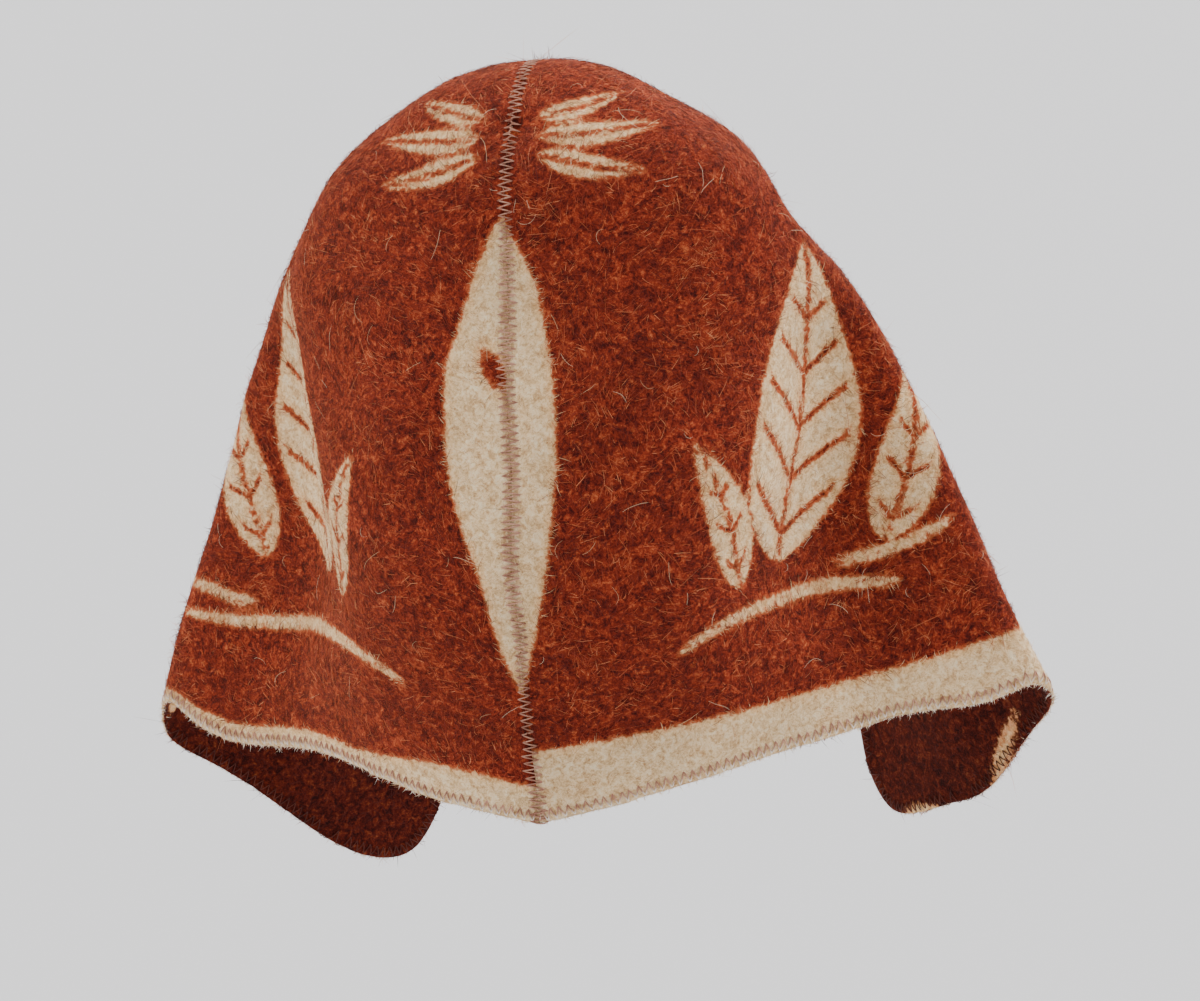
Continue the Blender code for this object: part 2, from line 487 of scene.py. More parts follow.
def cut_edge(cloth, line):
    """The line moved onto the cut edge of the rounded cloth."""
    mesh = cloth.data
    skin = skin_values(mesh)
    strips = []
    for face in mesh.polygons:
        values = [skin[v] for v in face.vertices]
        if min(values) < 0.9 and max(values) > -0.9:
            strips.append(tuple(face.vertices))
    return laid(line, BVHTree.FromPolygons([tuple(point) for point in positions(mesh)], strips))


SEAM_CLOSED = 0.02 * MM
PUCKER, PUCKER_PULL, PUCKER_REACH = (-0.002, 0.036, -0.018), 2.2 * MM, 6.0 * MM
SEAM_PRESS, SEAM_PRESS_REACH = 0.8 * MM, 3.6 * MM
RIM_PRESS, RIM_PRESS_REACH = 0.55 * MM, 3.5 * MM
RIM_STEP = 1.5 * MM
rims = {node: let_down(dense(lines[node][0], RIM_STEP), node) for node in PANELS}
for node, cloth in cloths.items():
    count = hang(cloth, rims[node], node)
    print(cloth.name, count, "points, rim", round(len(rims[node]) * RIM_STEP * 1000), "mm long")
rims = {node: wave(rims[node], rims[node]) for node in PANELS}
for node, cloth in cloths.items():
    press(cloth, rims[node])
    rims[node] = cut_edge(cloth, rims[node])

# %% [markdown]
# ## The woven picture, as distances
# A blanket's pattern is woven in: where the colours change places, the border is a ragged step from
# thread to thread. It could be painted on a texture. Here each shape is a signed distance in
# millimetres, more than nothing inside the cream, worked out from a few real sizes. Distances stay
# smooth between the points of the mesh, and the shader can make their border ragged.
#
# The bands are plain ones: a lens along the back seam, a stripe above the rim, some soft streaks,
# and the cheeks, which are cream outside.

# %% Bands of plain cream
# Each row: height in mm, reach of the lens to the wearer's left and right of the seam in mm.
LENS = ((-46, -4, -5), (-53, 3, -1), (-64, 9, 5), (-80, 15, 12), (-92, 19, 14), (-102, 23, 16),
        (-120, 24, 17.5), (-145, 23, 17.5), (-164, 18, 15), (-180, 12.5, 12), (-200, 9, 7), (-214, 5, 2.5),
        (-224, 1, -1), (-234, -5, -6))
# Each row: distance from the seam in mm, height of the stripe's upper edge on that side in mm.
LEFT_STRIPE = ((0, -260), (38, -253), (64, -252), (88, -252), (110, -256), (130, -264), (185, -275))
RIGHT_STRIPE = ((0, -247), (40, -242), (87, -237), (126, -232), (166, -223), (185, -219))
# A fleck of rust beside the seam: distance from it, height, half width, half height, mm, and its lean.
FLECK = (5.4, -105.5, 4.3, 7.2, -0.35)
# Each streak: its line as distance from the seam and height, then its full thickness, all in mm.
LEFT_STREAKS = (
    (((48, -222), (62, -215), (77, -209), (95, -208.5), (113, -210), (137, -210.5), (163, -208)), 5.0),
    (((128, -203), (140, -201), (150, -198.5), (162, -196)), 4.5),
)
RIGHT_STREAKS = (
    (((56, -213), (66, -207), (78, -202), (93, -199.5), (110, -199.5), (128, -200)), 4.5),
    (((104, -191.5), (115, -190), (128, -187), (140, -182), (148, -178)), 4.5),
)
LEFT_CHEEK_TOP = ((-145, -232), (-120, -222), (-95, -216), (-70, -217), (-45, -224), (-30, -238), (-19, -262))
RIGHT_CHEEK_TOP = ((-145, -232), (-120, -222), (-95, -214), (-70, -210), (-45, -212), (-19, -220))
BROW_STRIPE, BROW_START = 17.0, -40.0
WING_STRIPE, CORNER_STRIPE, CHEEK_STRIPE = 7.5, 4.0, 3.2
# The wing's rim stripe narrows towards its corner between these distances from the seam.
CORNER_FROM, CORNER_TO = 150.0, 178.0
# The lens is drawn only on the back of the hat, past this y. Elsewhere it is far away.
BACK_Y, FAR_AWAY = 20.0, -60.0
# Rust patches on the right cheek: y and z of the middle, half sizes along y and z, lean of y with z, in mm.
CHEEK_PATCHES = ((-41, -276, 2.3, 16.0, 0.30), (-68, -310, 13.0, 6.5, 0.0))


def curve_through(at, rows, column=1):
    """A smooth curve through the rows' knots, read at the given places."""
    table = np.array(rows, dtype=float)
    where, value = table[:, 0], table[:, column]
    order = np.argsort(where)
    where, value = where[order], value[order]
    slope = np.gradient(value, where)
    at = np.clip(at, where[0], where[-1])
    i = np.clip(np.searchsorted(where, at) - 1, 0, len(where) - 2)
    width = where[i + 1] - where[i]
    t = (at - where[i]) / width
    rise = value[i + 1] - value[i]
    return (value[i] + t * t * (3 - 2 * t) * rise
            + (t ** 3 - 2 * t * t + t) * width * slope[i] + (t ** 3 - t * t) * width * slope[i + 1])


def streak_depth(across, height, knots, thickness):
    """The signed distance into a streak that is full in its middle and soft at its ends."""
    (start, low), (end, high) = knots[0], knots[-1]
    line = curve_through(across, knots)
    slope = (high - low) / (end - start)
    share = np.clip((across - start) / (end - start), 0.0, 1.0)
    beyond = np.maximum(start - across, across - end)
    full = thickness / 2 * np.sqrt(np.clip(4 * share * (1 - share), 0.0, 1.0)) ** 0.6
    gap = np.abs(height - line) / math.hypot(1.0, slope)
    return np.where(beyond > 0, -np.hypot(np.maximum(beyond, 0.0), gap), full - gap)


def band_depth(points, side, rim_gap):
    """The signed distance in mm into the plain cream bands of one side."""
    x, y, z = (points / MM).T
    out = x * side
    reach = curve_through(z, LENS, 1 if side > 0 else 2)
    depth = np.where(y > BACK_Y, reach - out, FAR_AWAY)
    if side > 0:
        beside, height, half_width, half_height, lean = FLECK
        fleck = np.hypot((out + (z - height) * lean - beside) / half_width, (z - height) / half_height)
        depth = np.minimum(depth, np.where(y > BACK_Y, (fleck - 1.0) * half_width, depth))
    stripe = LEFT_STRIPE if side > 0 else RIGHT_STRIPE
    behind = y > FOLD_Y
    least = np.interp(out, (CORNER_FROM, CORNER_TO), (WING_STRIPE, CORNER_STRIPE))
    stripe = np.maximum(curve_through(out, stripe) - z, least - rim_gap / MM)
    depth = np.where(behind, np.maximum(depth, stripe), depth)
    for knots, thickness in (LEFT_STREAKS if side > 0 else RIGHT_STREAKS):
        depth = np.where(behind, np.maximum(depth, streak_depth(out, z, knots, thickness)), depth)
    cheek = curve_through(y, LEFT_CHEEK_TOP if side > 0 else RIGHT_CHEEK_TOP) - z
    brow = np.minimum(BROW_STRIPE - rim_gap / MM, BROW_START - y)
    ahead = np.maximum(np.maximum(cheek, brow), CHEEK_STRIPE - rim_gap / MM)
    for mid_y, mid_z, half_y, half_z, lean in CHEEK_PATCHES if side < 0 else ():
        off = np.hypot((y - mid_y - lean * (z - mid_z)) / half_y, (z - mid_z) / half_z)
        ahead = np.minimum(ahead, (off - 1.0) * min(half_y, half_z))
    return np.where(behind, depth, np.maximum(depth, ahead))


for node, side in PANELS.items():
    here = positions(cloths[node].data)
    depth = band_depth(here, side, nearest_gap(here, rims[node]))
    print(node, "cream on", round(100 * float((depth > 0).mean())), "percent of its points")

# %% [markdown]
# ## Leaves
# The picture in the cloth is a generic spray of leaves, cream with rust veins: three on each side
# of the hat and three small ones by the crown. A leaf is a flat drawing laid on the surface. Each
# has a foot, a tip and a width, and every point of the cloth gets its place in the leaf's own grid:
# how far along, how far across, and how deep inside the outline.

# %% Leaves laid on the cloth
# Each row: facing, foot, tip, full width and spacing of the side veins, mm, for the left side.
SIDE_FACING = Vector((0.60, 0.80, 0.05)).normalized()
CROWN_FACING = Vector((0.22, 0.72, 0.66)).normalized()
LEAVES = {
    "broad_leaf": (SIDE_FACING, (87, 26, -186), (101, 6, -70), 54.0, 20.0),
    "outer_leaf": (SIDE_FACING, (121, -6, -185), (138, -14, -116), 25.0, 16.0),
    "inner_leaf": (SIDE_FACING, (76, 44, -192), (66, 56, -136), 20.0, 14.0),
    "low_crown_leaf": (CROWN_FACING, (11, 41, -31), (50, 36, -40), 10.0, 300.0),
    "middle_crown_leaf": (CROWN_FACING, (11, 37, -24), (54, 23, -22), 11.0, 300.0),
    "high_crown_leaf": (CROWN_FACING, (10, 31, -18), (39, 17, -9), 9.5, 300.0),
}
LEAF_REACH = 26.0
# How far a leaf bows to one side of its length, and how steeply its side veins rise to its tip.
LEAF_BOW, VEIN_SLANT = 0.06, 0.9
NO_LEAF = 30.0
# The fold of the wing: how far out it lies at the height of the crown and for each mm of height,
# and the way, out and ahead, in which the plane of the wing would run on past it.
FOLD_OUT, FOLD_SPREAD = 76.0, -0.42
WING_HEADING = (0.80, -0.60)


def unfolded(points, side):
    """The points in mm, with the cheek opened out round the wing's fold into the plane of the wing."""
    flat = points / MM
    x, y, z = flat.T
    ahead = y < FOLD_Y
    fold_x = FOLD_OUT + FOLD_SPREAD * z
    past = np.hypot(x * side - fold_x, y - FOLD_Y)
    flat[ahead, 0] = ((fold_x + past * WING_HEADING[0]) * side)[ahead]
    flat[ahead, 1] = (FOLD_Y + past * WING_HEADING[1])[ahead]
    return flat


def leaf_place(points, side, *leaf):
    """Along and across the leaf, its length, and whether a point is near enough to carry it, in mm."""
    facing, foot, tip = (np.array(row) * (side, 1.0, 1.0) for row in leaf)
    spine = tip - foot
    spine -= facing * (spine @ facing)
    length = np.linalg.norm(spine)
    spine /= length
    away = unfolded(points, side) - foot
    return away @ spine, away @ np.cross(facing, spine), length, np.abs(away @ facing) < LEAF_REACH


def leaf_values(points, side):
    """Vein phase, distance from the midrib and depth inside the outline for the nearest leaf, in mm."""
    phase = np.zeros(len(points))
    middle = np.full(len(points), NO_LEAF)
    depth = -middle
    for *leaf, width, spacing in LEAVES.values():
        along, across, length, near = leaf_place(points, side, *leaf)
        share = np.clip(along / length, 0.0, 1.0)
        bow = across - LEAF_BOW * length * np.sin(math.pi * share) * side
        half = width / 2 * np.sin(math.pi * share ** 0.75) ** 0.8 * (1.0 - 0.15 * share)
        inside = half - np.abs(bow)
        beyond = np.maximum(-along, along - length)
        inside = np.where(beyond > 0, np.minimum(inside, -beyond), inside)
        taken = near & (inside > depth)
        phase = np.where(taken, (along - VEIN_SLANT * np.abs(bow)) / spacing, phase)
        middle = np.where(taken, np.abs(bow), middle)
        depth = np.where(taken, inside, depth)
    return phase, middle, depth


VEIN_SHARE = 0.08
MIDRIB = 1.2
VEIN_STOP = 3.5


def cream_depth(points, side, rim_gap):
    """The signed distance in mm into everything cream on the outer face."""
    phase, middle, depth = leaf_values(points, side)
    vein = np.abs(phase - np.floor(phase) - 0.5)
    veined = (middle < MIDRIB) | ((vein < VEIN_SHARE) & (depth > VEIN_STOP))
    leaf = np.where(veined & (depth > 0), -1.5, depth)
    return np.maximum(band_depth(points, side, rim_gap), leaf)


def store(mesh, name, values):
    made = mesh.attributes.new(name, "FLOAT", "POINT")
    made.data.foreach_set("value", np.asarray(values, dtype=np.float32))


for node, side in PANELS.items():
    mesh = cloths[node].data
    here = positions(mesh)
    rim_gap = nearest_gap(here, rims[node])
    phase, middle, depth = leaf_values(here, side)
    store(mesh, "band_depth", band_depth(here, side, rim_gap))
    store(mesh, "vein_phase", phase)
    store(mesh, "rib_gap", middle)
    store(mesh, "leaf_depth", depth)
    store(mesh, "rim_gap", rim_gap / MM)
    print(node, "leaves on", int((depth > 0).sum()), "points")

# %% [markdown]
# ## The napped cloth
# Brushed wool shows many threads of one colour family at once: dark maroon down in the nap, rust
# over it and orange at the tips. The cream is quieter, with a little tan. Both could be
# photographs, but noises at a few real sizes give the same play and stay sharp. A quick noise
# pushes the border to and fro for the ragged weave, and where rust meets cream its loose ends glow
# orange.

# %% Colours and the cloth's recipe
MAROON, RUST_DARK, RUST = (0.032, 0.004, 0.004), (0.100, 0.009, 0.005), (0.198, 0.020, 0.009)
# The last rust tone tops the fibres' ramp: partly the colour of bright orange strands, partly a painted glow
# for light shining through the fuzz at the outline.
RUST_BRIGHT, ORANGE, BRIGHT_ORANGE_AND_PAINTED_GLOW = (0.345, 0.044, 0.016), (0.640, 0.155, 0.050), (0.80, 0.29, 0.12)
TAN, CREAM_DARK = (0.50, 0.25, 0.10), (0.68, 0.43, 0.21)
CREAM, CREAM_PALE = (0.91, 0.65, 0.36), (1.0, 0.83, 0.56)
WARM_CREAM = (1.0, 0.80, 0.58)
SHEEN_RUST, SHEEN_CREAM = (0.95, 0.27, 0.10, 1.0), (0.95, 0.74, 0.52, 1.0)
OUTSIDE_SHEEN, INSIDE_SHEEN = 0.44, 0.08
SHEEN_ROUGHNESS = 0.40
# The inner rust face is darkened to this share of its colour: painted shade for the dim inside of the hat.
INSIDE_PAINTED_SHADE = 0.38
# The sizes of the noises, and how far the weave pushes a border and rust warms the cream, in mm.
CLUMP_MM, THREAD_MM, BROAD_MM, WEAVE_MM = 3.0, 0.8, 45.0, 2.2
RAGGED_MM, NEAR_RUST_MM = 1.0, 5.0
# About the spacing of the side veins in mm, which turns their phase into a distance.
VEIN_PITCH = 16.0


def rust_and_cream(recipe, clump, thread):
    """The two wool colours, from a value for the clumps and one for single threads."""
    level = recipe.sum("MULTIPLY_ADD", clump, 0.55, recipe.sum("MULTIPLY", thread, 0.45))
    rust = ((0.36, MAROON), (0.44, RUST_DARK), (0.50, RUST), (0.57, RUST_BRIGHT), (0.66, ORANGE))
    cream = ((0.34, TAN), (0.43, CREAM_DARK), (0.51, CREAM), (0.62, CREAM_PALE))
    return recipe.ramp(level, rust), recipe.ramp(level, cream)


def outer_cream(recipe, place):
    """The distance in mm into everything cream on the outer face, made ragged by the weave."""
    threads = recipe.sum("SUBTRACT", recipe.spots(place, WEAVE_MM, detail=2.0), 0.5)
    phase, middle, leaf, band = (recipe.attribute(name) for name in
                                 ("vein_phase", "rib_gap", "leaf_depth", "band_depth"))
    vein = recipe.sum("ABSOLUTE", recipe.sum("SUBTRACT", recipe.sum("FRACT", phase), 0.5))
    vein_room = recipe.sum("MULTIPLY", recipe.sum("SUBTRACT", vein, VEIN_SHARE), VEIN_PITCH)
    vein_room = recipe.sum("MAXIMUM", vein_room, recipe.sum("SUBTRACT", VEIN_STOP, leaf))
    rib_room = recipe.sum("SUBTRACT", middle, MIDRIB)
    leaf_room = recipe.sum("MINIMUM", leaf, recipe.sum("MINIMUM", vein_room, rib_room))
    return recipe.sum("MULTIPLY_ADD", threads, RAGGED_MM * 4, recipe.sum("MAXIMUM", band, leaf_room))


def napped_cloth(name):
    recipe = Recipe(name)
    place = recipe.place()
    clump = recipe.spots(place, CLUMP_MM, distortion=0.8)
    thread = recipe.spots(place, THREAD_MM, roughness=0.7, distortion=0.6)
    broad = recipe.spots(place, BROAD_MM, detail=2.0)
    rust, cream = rust_and_cream(recipe, clump, thread)
    depth = outer_cream(recipe, place)
    outer = recipe.step(depth, -0.5, 0.5)
    side = recipe.step(recipe.attribute("skin"), -0.25, 0.25)
    pale = recipe.sum("ABSOLUTE", recipe.sum("SUBTRACT", recipe.sum("SUBTRACT", 1.0, side), outer))
    near_rust = recipe.sum("MULTIPLY", recipe.step(depth, NEAR_RUST_MM, 0.0), 0.6)
    cream = recipe.blend(near_rust, cream, recipe.blend(1.0, cream, (*WARM_CREAM, 1.0), "MULTIPLY"))
    fringe = recipe.step(recipe.sum("ABSOLUTE", recipe.sum("ADD", depth, 0.3)), 1.2, 0.2, 0.0, 0.5)
    colour = recipe.blend(fringe, recipe.blend(pale, rust, cream), (*ORANGE, 1.0))
    # Here the inner rust face is darkened, painted shade for the dim inside of the hat.
    inside = recipe.sum("MAXIMUM", recipe.sum("MULTIPLY_ADD", side, 1.0 - INSIDE_PAINTED_SHADE, INSIDE_PAINTED_SHADE), pale)
    shade = recipe.sum("MULTIPLY", recipe.sum("MULTIPLY_ADD", broad, 0.5, 0.72), inside)
    felt = recipe.sum("MULTIPLY_ADD", clump, 0.7, recipe.sum("MULTIPLY", thread, 0.5))
    return recipe.finish({
        "Base Color": recipe.node("ShaderNodeHueSaturation", {"Value": shade, "Color": colour}).outputs[0],
        "Normal": recipe.bump(felt, 1.6, 0.7), "Roughness": 0.95, "Specular IOR Level": 0.15,
        "Sheen Weight": recipe.sum("MULTIPLY_ADD", side, OUTSIDE_SHEEN - INSIDE_SHEEN, INSIDE_SHEEN),
        "Sheen Tint": recipe.blend(pale, SHEEN_RUST, SHEEN_CREAM), "Sheen Roughness": SHEEN_ROUGHNESS})


def dress(pieces, material):
    """Gives the pieces their material."""
    for piece in pieces:
        piece.data.materials.append(material)
        print(piece.name, "has", len(piece.data.polygons), "faces of", material.name)


blanket_cloth = napped_cloth("napped_blanket_cloth")
dress(cloths.values(), blanket_cloth)

# %% [markdown]
# ## The nap
# Up close the cloth is a mat of short wool fibres, brushed up and felted down again. A particle
# system could grow them, but loose ribbons of three triangles stay light and keep their place in
# any program. Each fibre starts in the cloth, lies over at a shallow angle in the drift of its
# neighbours and ends in a point. Its colour is that of the cloth at its root, so at a border the
# fibres cross and fray.

# %% Fibres that grow from the cloth
OUTER_FIBRES, INNER_FIBRES = 65000, 16000
FIBRE_LENGTH, FIBRE_WIDTH = 4.0 * MM, 0.17 * MM
PALE_LENGTH_SHARE = 0.60
# Some fibres stand up and some rust ones are long strands. Both are finer than the rest.
STANDING_SHARE, STRAND_SHARE, STRAND_LENGTH, LOOSE_WIDTH_SHARE = 0.10, 0.045, 2.2, 0.6
# How far a fibre rises, how deep its root lies and how far it strays over a border, in mm.
STANDING_MM, LYING_MM, ROOT_DEPTH, BORDER_BLUR = (0.6, 2.0), (0.10, 0.50), 0.15, 0.5
# The spreads of a fibre's heading in radians, of its length and of its bend.
TURNED, UNEVEN, BENT = 0.62, 0.42, 0.17
CLUMPS = ((4.5 * MM, 0.75), (13.0 * MM, 0.60))
PRESSED_LIFT, PRESSED_SEAM, PRESSED_RIM = 0.35, 3.6 * MM, 5.0 * MM
RNG = np.random.default_rng(4911)
# The nap is brushed up and away from the centre seam, with this pull against its wandering.
BRUSHED, BRUSH_PULL = (0.80, 0.0, 0.60), 3.2
DRIFTS = RNG.normal(size=(14, 3)) * 0.12
DRIFT_TURNS = RNG.uniform(0, 2 * math.pi, size=(14, 3))


def drift(points):
    """A smooth wandering direction at each point, the lie of the nap."""
    swing = np.zeros((len(points), 3))
    angle = (points / MM) @ DRIFTS.T
    for axis in range(3):
        swing[:, axis] = np.sin(angle + DRIFT_TURNS[None, :, axis]).sum(axis=1)
    return swing


def clumps(points):
    """How deep the wool of each place was dyed, 0 to 1, in patches of two sizes."""
    level = np.full(len(points), 0.5)
    for size, weight in CLUMPS:
        level += weight * np.array([noise.noise(Vector(point) / size) for point in points])
    return np.clip(level, 0.0, 1.0)


def roots(cloth, count, skin_sign, rng):
    """Random places on one face of the cloth, with the normal there."""
    mesh = cloth.data
    mesh.calc_loop_triangles()
    corners = np.empty(len(mesh.loop_triangles) * 3, dtype=np.int32)
    mesh.loop_triangles.foreach_get("vertices", corners)
    corners = corners.reshape(-1, 3)
    skin = skin_values(mesh)
    here, normal_here = positions(mesh), positions(mesh, "normal")
    corners = corners[skin[corners].mean(axis=1) * skin_sign > 0.15]
    a, b, c = (here[corners[:, i]] for i in range(3))
    area = lengths(np.cross(b - a, c - a)) / 2
    pick = rng.choice(len(corners), size=count, p=area / area.sum())
    u, v = rng.random(count), rng.random(count)
    fold = u + v > 1
    u[fold], v[fold] = 1 - u[fold], 1 - v[fold]
    weights = np.stack([1 - u - v, u, v], axis=1)[:, :, None]
    place = (here[corners[pick]] * weights).sum(axis=1)
    normal = (normal_here[corners[pick]] * weights).sum(axis=1)
    return place, normal / lengths(normal)[:, None]


def unit(vectors):
    return vectors / (lengths(vectors)[:, None] + 1e-12)


def ribbons(name, spine, width, shade, pale):
    """Ribbons that taper to a point, one for each row of spine points, as one mesh."""
    count, links = spine.shape[0], spine.shape[1] - 1
    sides = np.stack([spine[:, :-1] - width[:, None], spine[:, :-1] + width[:, None]], axis=2)
    points = np.concatenate([sides.reshape(count, -1, 3), spine[:, -1:]], axis=1)
    each = points.shape[1]
    corners = []
    for link in range(links - 1):
        k = 2 * link
        corners += [[k, k + 1, k + 3], [k, k + 3, k + 2]]
    corners.append([each - 3, each - 2, each - 1])
    corners = np.array(corners)
    faces = (np.arange(count)[:, None, None] * each + corners[None]).reshape(-1, 3)
    mesh = bpy.data.meshes.new(name)
    mesh.vertices.add(count * each)
    mesh.vertices.foreach_set("co", points.ravel())
    mesh.loops.add(faces.size)
    mesh.loops.foreach_set("vertex_index", faces.ravel())
    mesh.polygons.add(len(faces))
    mesh.polygons.foreach_set("loop_start", np.arange(len(faces)) * 3)
    mesh.update(calc_edges=True)
    mesh.shade_smooth()
    store(mesh, "shade", np.repeat(shade, each))
    store(mesh, "pale", np.repeat(pale, each))
    swatch = mesh.uv_layers.new(name="OFBake")
    owner = np.repeat(np.arange(count), corners.size)
    across = np.tile(corners.ravel() % 2, count)
    along = np.tile((corners.ravel() // 2) / max(1, links), count)
    u = 0.02 + 0.95 * shade[owner] + 0.01 * across
    v = 0.10 + 0.50 * pale[owner] + 0.30 * along
    swatch.data.foreach_set("uv", np.stack([u, v], axis=1).ravel())
    return show(name, mesh)


def grow_nap(name, node, count, sign, rng):
    side = PANELS[node]
    place, normal = roots(cloths[node], count, sign, rng)
    rim_gap = nearest_gap(place, rims[node])
    depth = cream_depth(place, side, rim_gap) + rng.normal(0, BORDER_BLUR, count)
    pale = (depth > 0) == (sign > 0)
    lie = drift(place) + np.array([BRUSHED[0] * side, *BRUSHED[1:]]) * BRUSH_PULL
    along = unit(lie - normal * (lie * normal).sum(axis=1, keepdims=True))
    across = np.cross(normal, along)
    turn = rng.normal(0, TURNED, count)[:, None]
    along, across = along * np.cos(turn) + across * np.sin(turn), across * np.cos(turn) - along * np.sin(turn)
    length = FIBRE_LENGTH * rng.lognormal(0, UNEVEN, count) * np.where(pale, PALE_LENGTH_SHARE, 1.0)
    length = length[:, None]
    standing = rng.random(count)[:, None] < STANDING_SHARE
    strand = (rng.random(count) < STRAND_SHARE) & ~pale
    length *= np.where(strand, STRAND_LENGTH, 1.0)[:, None]
    lift = np.where(standing, rng.uniform(*STANDING_MM, (count, 1)), rng.uniform(*LYING_MM, (count, 1))) * MM
    pressed = (np.abs(place[:, 0]) < PRESSED_SEAM) | (rim_gap < PRESSED_RIM)
    lift *= np.where(pressed, PRESSED_LIFT, 1.0)[:, None]
    bend = rng.normal(0, BENT, (count, 1)) * length
    root = place - normal * ROOT_DEPTH * MM
    middle = place + along * length * 0.5 + across * bend * 0.35 + normal * lift * 0.9
    tip = place + along * length * 0.95 + across * bend + normal * lift * rng.uniform(0.3, 1.25, (count, 1))
    tilt = rng.normal(0, 0.5, (count, 1))
    flat = unit(across * np.cos(tilt) + normal * np.sin(tilt))
    clump = clumps(place)
    clump = np.where(pale, 0.30 + 0.40 * clump, clump)
    shade = np.clip(0.52 * clump + 0.56 * rng.random(count) ** 1.15, 0, 1)
    # Standing fibres and long strands are made brighter: the strands are bright orange wool, and for the
    # standing fibres it is a painted glow of light through the fuzz at the outline.
    shade = np.where(strand | standing[:, 0], np.maximum(shade, rng.uniform(0.45, 1.0, count)), shade)
    shade = np.where(pale & (depth * sign < 3.0), shade * 0.72, shade)
    # Inner rust fibres are darkened the same way, painted shade for the dim inside of the hat.
    shade *= np.where(pale | (sign > 0), 1.0, INSIDE_PAINTED_SHADE)
    width = flat * FIBRE_WIDTH / 2 * rng.uniform(0.6, 1.2, (count, 1))
    width *= np.where(strand | standing[:, 0], LOOSE_WIDTH_SHARE, 1.0)[:, None]
    return ribbons(name, np.stack([root, middle, tip], axis=1), width, shade, pale.astype(float))


naps = {}
for node in PANELS:
    naps[node] = [grow_nap(node.replace("panel", "nap"), node, OUTER_FIBRES, 1.0, RNG),
                  grow_nap(node.replace("panel", "inner_nap"), node, INNER_FIBRES, -1.0, RNG)]
    print(node, "has", OUTER_FIBRES, "fibres outside and", INNER_FIBRES, "inside")


# %% The wool of the fibres
def wool_fibre(name, palest):
    recipe = Recipe(name)
    shade, pale = recipe.attribute("shade"), recipe.attribute("pale")
    rusts = ((0.06, MAROON), (0.30, RUST_DARK), (0.53, RUST), (0.76, RUST_BRIGHT), (0.92, ORANGE),
             (1.0, BRIGHT_ORANGE_AND_PAINTED_GLOW))
    creams = ((0.14, TAN), (0.38, CREAM_DARK), (0.60, CREAM), (0.88, palest))
    return recipe.finish({
        "Base Color": recipe.blend(pale, recipe.ramp(shade, rusts), recipe.ramp(shade, creams)),
        "Roughness": 0.75, "Specular IOR Level": 0.25, "Sheen Roughness": SHEEN_ROUGHNESS,
        "Sheen Weight": recipe.sum("MULTIPLY", shade, OUTSIDE_SHEEN),
        "Sheen Tint": recipe.blend(pale, SHEEN_RUST, SHEEN_CREAM)})


# The palest colour of the fray is whiter than the cream: a painted highlight for the tufts that catch the
# light at the rim.
FRAY_HIGHLIGHT_PALE = (0.97, 0.90, 0.80)
wool = wool_fibre("wool_fibre", CREAM_PALE)
rim_wool = wool_fibre("rim_wool", FRAY_HIGHLIGHT_PALE)
for pair in naps.values():
    dress(pair, wool)

# %% [markdown]
# ## Zigzag stitches
# A machine zigzag joins the two halves edge to edge, and another goes round the cut rim, where each
# second stroke wraps over the edge. The top thread is a firm polyester in taupe, and the bobbin
# thread on the inner face is dark rust. Where the top thread wraps over the edge it is painted paler,
# a painted highlight for the light it catches there. It could be a texture, but a real thread stands
# up from the cloth and sinks in at each needle hole. A path is laid over the surface from needle to
# needle, then a curve with a round bevel runs through it.

# %% Paths from needle to needle
SEAM_PITCH = 2.8 * MM
# Each pair: distance along the seam from the nape and half the width of the zigzag there, in mm.
SEAM_HALF_WIDTHS = ((0, 3.9), (22, 3.7), (34, 2.5), (54, 2.3), (78, 3.1), (110, 3.8), (190, 3.7), (235, 2.6),
                    (600, 2.8))
RIM_PITCH, RIM_NEEDLES = 3.4 * MM, (5.0 * MM, 0.4 * MM)
WRAP_OUT, WRAP_UNDER = 0.75 * MM, 1.4 * MM
THREAD_RADIUS, BOBBIN_RADIUS = 0.27 * MM, 0.20 * MM
THREAD_RISE = 0.66 * MM
STROKE_STEPS = 6
# How far a needle strays, in mm: across, along the seam and along the rim. The seam also weaves.
STRAY, SEAM_SLIP, RIM_SLIP = 0.18, 0.12, 0.15
WEAVE_LENGTH, WEAVE_DEPTH = 22 * MM, 0.9 * MM


def skin_tree(members, sign):
    """A finder of the nearest place on one face of the given cloths."""
    points, faces = [], []
    for cloth in members:
        mesh = cloth.data
        skin = skin_values(mesh)
        first = len(points)
        points.extend(tuple(vert.co) for vert in mesh.vertices)
        for face in mesh.polygons:
            if min(skin[v] * sign for v in face.vertices) > 0.4:
                faces.append([first + v for v in face.vertices])
    return BVHTree.FromPolygons(points, faces)


def along_line(line, step):
    """Points every step along a line, with the direction of travel there."""
    run = runs(line)
    at = np.arange(0.0, run[-1], step)
    ahead = at_runs(line, run, np.minimum(at + 2 * MM, run[-1]))
    behind = at_runs(line, run, np.maximum(at - 2 * MM, 0.0))
    return at_runs(line, run, at), unit(ahead - behind)


def inward(tree, point, travel, way):
    """The direction over the cloth, square to the line, that leads to the given side of it."""
    normal = tree.find_nearest(point)[1]
    guess = normal.cross(travel).normalized() * way
    normal = tree.find_nearest(point + guess * 3 * MM)[1]
    return normal.cross(travel).normalized() * way


